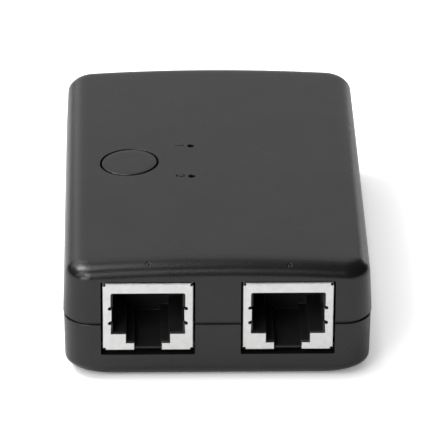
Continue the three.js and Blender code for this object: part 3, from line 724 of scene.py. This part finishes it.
def mouth_outline():
    """The plug opening in the shield, with the notches at the roots of its ground springs."""
    half, floor, roof = MOUTH["half"], MOUTH["floor"], MOUTH["roof"]
    floor_edge, roof_edge, bow = MOUTH["floor_edge"], MOUTH["roof_edge"], MOUTH["roof_bow"]
    shoulder, shoulder_floor = SHOULDER["half"], SHOULDER["floor"]
    root = half - GROUND["bite"]
    edge = [(LATCH_HALF, -OVER), (LATCH_HALF, shoulder_floor), (shoulder, shoulder_floor), (shoulder, floor)]
    edge += [(half - floor_edge, floor), (half, floor + floor_edge)]
    edge += notch_arc(NOTCH["low"], -140, 80) + [(root, GROUND["low"]), (root, GROUND["high"])]
    edge += notch_arc(NOTCH["high"], -160, 60) + [(half, NOTCH["high"] + NOTCH["tail"])]
    edge += [(half, roof - roof_edge), (half - bow, roof - bow), (half - roof_edge, roof)]
    return edge + [(-x, z) for x, z in reversed(edge)]


def corner_relief(side, up):
    """A cutter for the round relief at one corner of the shield's face, open to the corner."""
    x, z = side * JACK["width"] / 2, JACK["height"] if up > 0 else 0
    inset, radius = CORNER_RELIEF["inset"], CORNER_RELIEF["radius"]
    bearing = math.atan2(-up, -side)
    outline = []
    for a in np.linspace(bearing - math.pi / 2, bearing + math.pi / 2, CORNER_RELIEF["steps"] + 1):
        outline.append((x - side * inset + radius * math.cos(a), z - up * inset + radius * math.sin(a)))
    for a in (bearing + math.pi / 2, bearing - math.pi / 2):
        outline.append((x + side * inset + radius * math.cos(a), z + up * inset + radius * math.sin(a)))
    return prism("tool", outline, -OVER, CORNER_RELIEF["depth"])


def shield_additions(side):
    """A solder tab and a ground spring on one side of the shield."""
    half, sheet = JACK["width"] / 2, JACK["sheet"]
    left, right = sorted((side * half, side * (half - sheet)))
    inset = TAB["inset"]
    low, high = (left + inset, TAB["front"], TAB["low"]), (right - inset, TAB["back"], TAB["high"])
    tab = block("tool", low, high, TAB["edge"])
    root = MOUTH["half"] - GROUND["bite"]
    left, right = sorted((side * (root + SPRING_ARM["inset"]), side * (root + sheet)))
    low = (left, SPRING_ARM["front"], SPRING_ARM["low"])
    high = (right, SPRING_ARM["back"], SPRING_ARM["high"])
    return [tab, block("tool", low, high, SPRING_ARM["edge"])]


def at_face(ends):
    return all(abs(p.y) < FACE_SLACK for p in ends)


def jack_shield(jack):
    """Folded nickel sheet: rounded folds, corner reliefs, ground springs and solder tabs."""
    half, height, depth, sheet = JACK["width"] / 2, JACK["height"], JACK["depth"], JACK["sheet"]
    shield = block(f"{jack}_metal_shield", (-half, 0, 0), (half, depth, height), FOLD["outer"], 3)
    low, high = (sheet - half, sheet, -OVER), (half - sheet, depth - sheet, height - sheet)
    room = block("tool", low, high, FOLD["inner"])
    mouth = prism("tool", mouth_outline(), -OVER, sheet + FACE_SLACK)
    reliefs = [corner_relief(side, up) for side in (-1, 1) for up in (-1, 1)]
    combine(shield, [room, mouth] + reliefs, "DIFFERENCE")
    soften(shield, FOLD["face"], angle=60, choose=at_face)
    combine(shield, shield_additions(-1) + shield_additions(1), "UNION")
    shield.data.transform(jack_matrix(jack))
    return finish_piece(shield, NICKEL, CASE_BODY, [f"{jack}_shield"], angle=30)


def notch_pockets():
    """Cutters for the housing's pockets behind the shield's notches."""
    pockets = []
    for side in (-1, 1):
        for z in (NOTCH["low"], NOTCH["high"]):
            outline = [(side * x, z) for x, z in notch_arc(z, 0, 315)]
            pockets.append(prism("tool", outline, POCKET["front"], POCKET["back"]))
    return pockets


def latch_sill():
    """The rounded sill where the latch's slot meets the housing's front."""
    front, back, top, edge = SILL["front"], SILL["back"], SILL["top"], SILL["edge"]
    outline = [(back, SILL["bottom"]), (front, SILL["bottom"])]
    for turn in np.linspace(0, math.pi / 2, SILL["steps"] + 1):
        outline.append((front + edge * (1 - math.cos(turn)), top - edge * (1 - math.sin(turn))))
    outline.append((back, top))
    half = LATCH_HALF + SILL["side"]
    return rings_object("tool", [[(x, y, z) for y, z in outline] for x in (-half, half)])


def jack_housing(jack):
    """The moulded body of a socket."""
    housing = cad_copy(f"{jack}_housing", f"{jack}_plastic_housing")
    soften(housing, HOUSING_EDGE, 3)
    sill, pockets = latch_sill(), notch_pockets()
    for tool in [sill] + pockets:
        tool.data.transform(jack_matrix(jack))
    combine(housing, [sill], "UNION")
    combine(housing, pockets, "DIFFERENCE")
    return finish_piece(housing, SOCKET_PLASTIC, CASE_BODY, [f"{jack}_housing"])


# ---- Screws, lamps, spring and power inlet ----

# The head's radius at heights above its face. The thread's end narrows over the length "point" to
# the share "tip", and its rings come THREAD_LEVELS to a turn.
SCREW_HEAD = ((0, 0), (0.8, 0.02), (1.4, 0.14), (1.8, 0.4), (1.95, 0.75), (1.95, 1.4))
THREAD = {"root": 0.82, "tooth": 0.27, "tooth_width": 0.3, "pitch": 1.2, "point": 1.2, "tip": 0.02}
THREAD_LEVELS = 10
RECESS = {"long": 1.15, "wide": 0.24, "depth": 0.95}
SCREW_SEGMENTS = 40


def thread_ring(centre, base, rise, length):
    """One level of the shank: its radius grows where the helix passes."""
    share = max(min(1.0, (length - rise) / THREAD["point"]), THREAD["tip"])
    ring = []
    for i, a in enumerate(full_turn(SCREW_SEGMENTS)):
        phase = (rise / THREAD["pitch"] - i / SCREW_SEGMENTS) % 1
        tooth = max(0.0, 1 - abs(phase - 0.5) / THREAD["tooth_width"])
        r = (THREAD["root"] + THREAD["tooth"] * tooth) * share
        ring.append((centre[0] + r * math.cos(a), centre[1] + r * math.sin(a), base + rise))
    return ring


def case_screw(node):
    """A pan-head screw with a cross recess and a helical thread."""
    low, high = cad_box(node)
    x, y = centre_of(node)
    turns = full_turn(SCREW_SEGMENTS)
    rings = [circle((x, y), radius, low.z + rise, turns) for radius, rise in SCREW_HEAD]
    shank = low.z + SCREW_HEAD[-1][1]
    length = high.z - shank
    steps = int(length / THREAD["pitch"] * THREAD_LEVELS)
    rings += [thread_ring((x, y), shank, k / steps * length, length) for k in range(steps + 1)]
    screw = rings_object(node.replace("case_screw", "cover_screw"), rings)
    cross = []
    for arm_x, arm_y in ((RECESS["long"], RECESS["wide"]), (RECESS["wide"], RECESS["long"])):
        near, far = (x - arm_x, y - arm_y, low.z - OVER), (x + arm_x, y + arm_y, low.z + RECESS["depth"])
        cross.append(block("tool", near, far))
    combine(screw, cross, "DIFFERENCE")
    return finish_piece(screw, ZINC, CASE_BODY, [node])


LAMP = {"radius": 1.48, "base": 15.0, "collar": 1.88, "collar_height": 1, "collar_edge": 0.1, "segments": 48}
LEG = {"half": 0.24, "apart": 1.27, "sunk": 0.02, "edge": 0.05}


def indicator_lamp(node):
    """A round-nosed lamp with a collar, on two square legs."""
    low, high = cad_box(node)
    x, y = centre_of(node)
    radius, base, collar, edge = LAMP["radius"], LAMP["base"], LAMP["collar"], LAMP["collar_edge"]
    top = base + LAMP["collar_height"]
    profile = [(0, base), (collar, base), (collar, top - edge), (collar - edge, top), (radius, top)]
    for turn in np.linspace(0, math.pi / 2, 9)[:-1]:
        profile.append((radius * math.cos(turn), high.z - radius + radius * math.sin(turn)))
    name = node.replace("indicator_lamp", "lamp_bulb")
    bulb = lathe(name, profile + [(0, high.z)], (x, y), LAMP["segments"])
    finish_piece(bulb, RESIN, CASE_BODY, [node])
    half = LEG["half"]
    for side in (-1, 1):
        leg_y = y + side * LEG["apart"]
        name = f"lamp_{node[-1]}_leg_{'front' if side < 0 else 'rear'}"
        near, far = (x - half, leg_y - half, low.z), (x + half, leg_y + half, base + LEG["sunk"])
        finish_piece(block(name, near, far, LEG["edge"]), ZINC, CASE_BODY)


# The coil's end turns are closed: each takes "closed_turns" to rise by "closed_rise".
COIL = {"wire": 0.15, "radius": 1.9, "turns": 5.0, "closed_turns": 0.75, "closed_rise": 0.3}
COIL_STEPS, COIL_SIDES = 32, 10


def spring_rings(centre, bottom, top):
    wire, turns, closed, rise_closed = COIL["wire"], COIL["turns"], COIL["closed_turns"], COIL["closed_rise"]
    stops = (0, closed, turns - closed, turns)
    heights = (0, rise_closed, top - bottom - rise_closed, top - bottom)
    steps = int(turns * COIL_STEPS)
    rings = []
    for k in range(steps + 1):
        done = k / steps
        rise = np.interp(done * turns, stops, heights)
        a = 2 * math.pi * turns * done
        ring = []
        for b in full_turn(COIL_SIDES):
            reach = COIL["radius"] + wire * math.cos(b)
            z = bottom + rise + wire * math.sin(b)
            ring.append((centre[0] + reach * math.cos(a), centre[1] + reach * math.sin(a), z))
        rings.append(ring)
    return rings


def switch_spring():
    """A round-wire coil with closed end turns, under the plunger's flange."""
    low, high = cad_box("switch_spring")
    x, y = centre_of("switch_spring")
    rings = spring_rings((x, y), low.z + COIL["wire"], high.z - COIL["wire"])
    spring = rings_object("return_spring", rings)
    finish_piece(spring, ZINC, CASE_BODY, ["switch_spring"], angle=60)
    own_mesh(spring)


INLET_SHEET, INLET_EDGE, INLET_BACK = 0.3, 0.08, 0.6
PADS = {"count": 12, "pitch": 0.5, "half": 0.15, "edge": 0.02}
# Behind the shell's mouth, and above and below its middle.
PAD_PLACE = {"front": 1.3, "back": 5, "low": 0.33, "high": 0.38}


def power_socket():
    """A small oval power inlet: drawn steel shell, and a tongue with contact pads on both its faces."""
    front, back = INLET_HIGH.y, INLET_LOW.y
    shell = prism("power_inlet_shell", inlet_outline(0, 10)(0), back, front)
    room = prism("tool", inlet_outline(-INLET_SHEET, 10)(0), back + INLET_BACK, front + OVER)
    combine(shell, [room], "DIFFERENCE")
    soften(shell, INLET_EDGE, angle=60)
    finish_piece(shell, NICKEL, CASE_BODY, ["power_socket_shell"])
    refine("power_socket_tongue", "power_inlet_tongue", SOCKET_PLASTIC, edge=0.08)
    x, z = INLET["centre"]
    half = PADS["half"]
    for i in range(PADS["count"]):
        pad_x = x + (i - (PADS["count"] - 1) / 2) * PADS["pitch"]
        for face, sign in (("upper", 1), ("lower", -1)):
            low, high = sorted((z + sign * PAD_PLACE["low"], z + sign * PAD_PLACE["high"]))
            near = (pad_x - half, front - PAD_PLACE["back"], low)
            far = (pad_x + half, front - PAD_PLACE["front"], high)
            finish_piece(block(f"power_pad_{face}_{i + 1}", near, far, PADS["edge"], 1), GOLD, CASE_BODY)


# ---- Put it all together ----

top_cover()
bottom_cover()
button_cap()
for jack in JACK_NAMES:
    jack_shield(jack)
    jack_housing(jack)
    refine(f"{jack}_contact_carrier", f"{jack}_rear_insert", SOCKET_PLASTIC, edge=0.06)
    for number in range(1, 9):
        refine(f"{jack}_contact_{number}", f"{jack}_wire_{number}", GOLD, edge=0.05)
for node in SCREW_NODES:
    case_screw(node)
for node in LAMP_NODES:
    indicator_lamp(node)
for number in (1, 2):
    refine(f"lamp_spacer_{number}", f"lamp_standoff_{number}", SOCKET_PLASTIC, edge=0.08)
switch_spring()
power_socket()
refine("switch_housing", "push_switch_body", EPOXY, edge=0.12)
refine("switch_plunger", "push_switch_plunger", ACETAL, edge=0.1, body=BUTTON_BODY)
for node in ("line_switch_chip_1", "line_switch_chip_2", "logic_chip", "voltage_regulator"):
    refine(node, node + "_package", EPOXY, edge=0.06)
refine("input_capacitor", "input_capacitor_can", NICKEL, edge=0.1)
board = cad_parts["circuit_board"]
board.data.materials.clear()
board.data.materials.append(LAMINATE)

# ---- Floor, light and camera ----

FLOOR = {"half": 1500, "colour": 0.86, "glow": 0.064, "mottle": 0.01, "mottle_size": 40, "roughness": 0.6}
# To the camera the floor is brighter, as in a picture exposed for its dark subject. Its glow falls to its
# least value right beside the case, over the contact distance: painted shade, a contact shadow drawn into the
# glow.
SEEN_FLOOR = {"colour": 1.05, "glow": 0.62, "painted_shadow_glow": 0.16, "contact": 4.0}


def mixed(look, factor, shaders):
    """The first shader where the factor is 0, and the second where it is 1."""
    mix = look.nodes.new("ShaderNodeMixShader")
    look.links.new(factor, mix.inputs["Fac"])
    for k, shader in enumerate(shaders):
        look.links.new(shader, mix.inputs[k + 1])
    return mix.outputs["Shader"]


def seen_floor(look):
    """The floor as the camera sees it: a nearly white sheet, overexposed, with a painted contact shadow
    beside the case.
    """
    sheet = look.nodes.new("ShaderNodeBsdfDiffuse")
    sheet.inputs["Color"].default_value = (SEEN_FLOOR["colour"],) * 3 + (1,)
    # Painted contact shadow: an ambient occlusion factor dims the floor's glow close beside the case.
    painted_contact_shadow = look.nodes.new("ShaderNodeAmbientOcclusion")
    painted_contact_shadow.inputs["Distance"].default_value = SEEN_FLOOR["contact"] * MM
    glow = look.nodes.new("ShaderNodeEmission")
    strength = look.spread(painted_contact_shadow.outputs["AO"], SEEN_FLOOR["painted_shadow_glow"], SEEN_FLOOR["glow"], 0, 1)
    look.links.new(strength, glow.inputs["Strength"])
    total = look.nodes.new("ShaderNodeAddShader")
    look.links.new(sheet.outputs["BSDF"], total.inputs[0])
    look.links.new(glow.outputs["Emission"], total.inputs[1])
    return total.outputs["Shader"]


def floor():
    """A plain pale sheet, faintly lit through like a studio's light table. It can't be seen from below."""
    low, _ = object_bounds()  # taken before the sheet is made, since the sheet would count
    half, tone = FLOOR["half"], FLOOR["colour"]
    corners = [(-half, -half, 0), (half, -half, 0), (half, half, 0), (-half, half, 0)]
    sheet = mesh_object("floor", corners, [(0, 1, 2, 3)])
    sheet.location.z = low.z
    look = Look("floor", "stage")
    look.colour(look.noise(FLOOR["mottle_size"]), (tone,) * 3, (tone + FLOOR["mottle"],) * 3)
    look.shader.inputs["Roughness"].default_value = FLOOR["roughness"]
    look.shader.inputs["Specular IOR Level"].default_value = 0.0
    look.shader.inputs["Emission Color"].default_value = (1, 1, 1, 1)
    look.shader.inputs["Emission Strength"].default_value = FLOOR["glow"]
    to_camera = look.nodes.new("ShaderNodeLightPath").outputs["Is Camera Ray"]
    facing = mixed(look, to_camera, (look.shader.outputs["BSDF"], seen_floor(look)))
    behind = look.nodes.new("ShaderNodeNewGeometry").outputs["Backfacing"]
    clear = look.nodes.new("ShaderNodeBsdfTransparent").outputs["BSDF"]
    look.links.new(mixed(look, behind, (facing, clear)), look.nodes["Material Output"].inputs["Surface"])
    sheet.data.materials.append(look.material)
    sheet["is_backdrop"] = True


# Soft boxes: azimuth and elevation in degrees as seen from the case, 0 in front and 90 on the right, then
# the distance and the size in millimetres, and the power in watts.
LIGHTS = {
    "key": (-104, 55, 900, 320, 3.47),
    "left_high": (-90, 72, 900, 400, 1.92),
    "corner_high": (-62, 46, 900, 260, 0.6),
    "corner": (-60, 28, 900, 300, 0.64),
    "front_left_low": (-38, 10, 900, 260, 0.91),
    "front_left": (-32, 42, 900, 260, 1.52),
    "front_low": (-25, 14, 900, 300, 0.95),
    "front": (-18, 30, 900, 300, 0.64),
    "front_high": (-8, 48, 900, 300, 0.41),
    "rear": (180, 30, 900, 900, 1.51),
    "rear_high": (180, 62, 900, 500, 0.29),
    "rear_left": (-135, 40, 900, 500, 1.09),
    "rear_left_low": (-152, 8, 900, 380, 0.2),
    "rear_right": (145, 8, 900, 250, 0.3),
}


def around(azimuth, elevation, distance):
    """The point at this bearing from the middle of the case."""
    a, e = math.radians(azimuth), math.radians(elevation)
    reach = distance * math.cos(e)
    return Vector((reach * math.sin(a), -reach * math.cos(a), HEIGHT / 2 + distance * math.sin(e)))


def lights():
    """The soft boxes, in a world that is otherwise dark."""
    for name, (azimuth, elevation, distance, size, power) in LIGHTS.items():
        lamp = bpy.data.lights.new(name, "AREA")
        lamp.energy = power
        lamp.size = size * MM
        holder = bpy.data.objects.new(name, lamp)
        spot = around(azimuth, elevation, distance)
        holder.location = spot * MM
        holder.rotation_mode = "QUATERNION"
        holder.rotation_quaternion = (Vector((0, 0, HEIGHT / 2)) - spot).to_track_quat("-Z", "Y")
        holder.visible_camera = False
        bpy.context.scene.collection.objects.link(holder)
    world = bpy.data.worlds.new("studio")
    world.use_nodes = True
    world.node_tree.nodes["Background"].inputs["Strength"].default_value = 0.0
    bpy.context.scene.world = world


# The view of the product picture: a long lens, looking down on the two-socket face.
CAMERA = {"lens": 351.0, "sensor": 36, "distance": 794.7, "elevation": 27.73, "yaw": 1.517, "roll": 0.403}
# The aim point is measured from the front face, and lies this far off the picture's middle.
AIM = {"point": (0.0, 30.0, 10.0), "across": -1.745, "below": 4.678}
CLIP_NEAR, CLIP_FAR = 0.01, 10  # in metres


def camera():
    """Looks along the view's own axes, so that the aim point lies a little off the picture's middle."""
    elevation, yaw, roll = (math.radians(CAMERA[k]) for k in ("elevation", "yaw", "roll"))
    turn = Matrix.Rotation(yaw, 3, "Z")
    right = Vector((1, 0, 0))
    down = Vector((0, -math.sin(elevation), -math.cos(elevation)))
    ahead = Vector((0, math.cos(elevation), -math.sin(elevation)))
    rolled_right = math.cos(roll) * right - math.sin(roll) * down
    rolled_down = math.sin(roll) * right + math.cos(roll) * down
    right, down, ahead = (turn.transposed() @ v for v in (rolled_right, rolled_down, ahead))
    aim = Vector(AIM["point"]) - Vector((0, HALF_Y, 0))
    place = aim - right * AIM["across"] - down * AIM["below"] - ahead * CAMERA["distance"]
    data = bpy.data.cameras.new("camera")
    data.lens = CAMERA["lens"]
    data.sensor_width = CAMERA["sensor"]
    data.clip_start, data.clip_end = CLIP_NEAR, CLIP_FAR
    viewer = bpy.data.objects.new("camera", data)
    axes = Matrix((right, -down, -ahead)).transposed().to_4x4()
    viewer.matrix_world = Matrix.Translation(place * MM) @ axes
    bpy.context.scene.collection.objects.link(viewer)
    bpy.context.scene.camera = viewer


floor()
lights()
camera()
bpy.context.scene.view_settings.view_transform = "Standard"
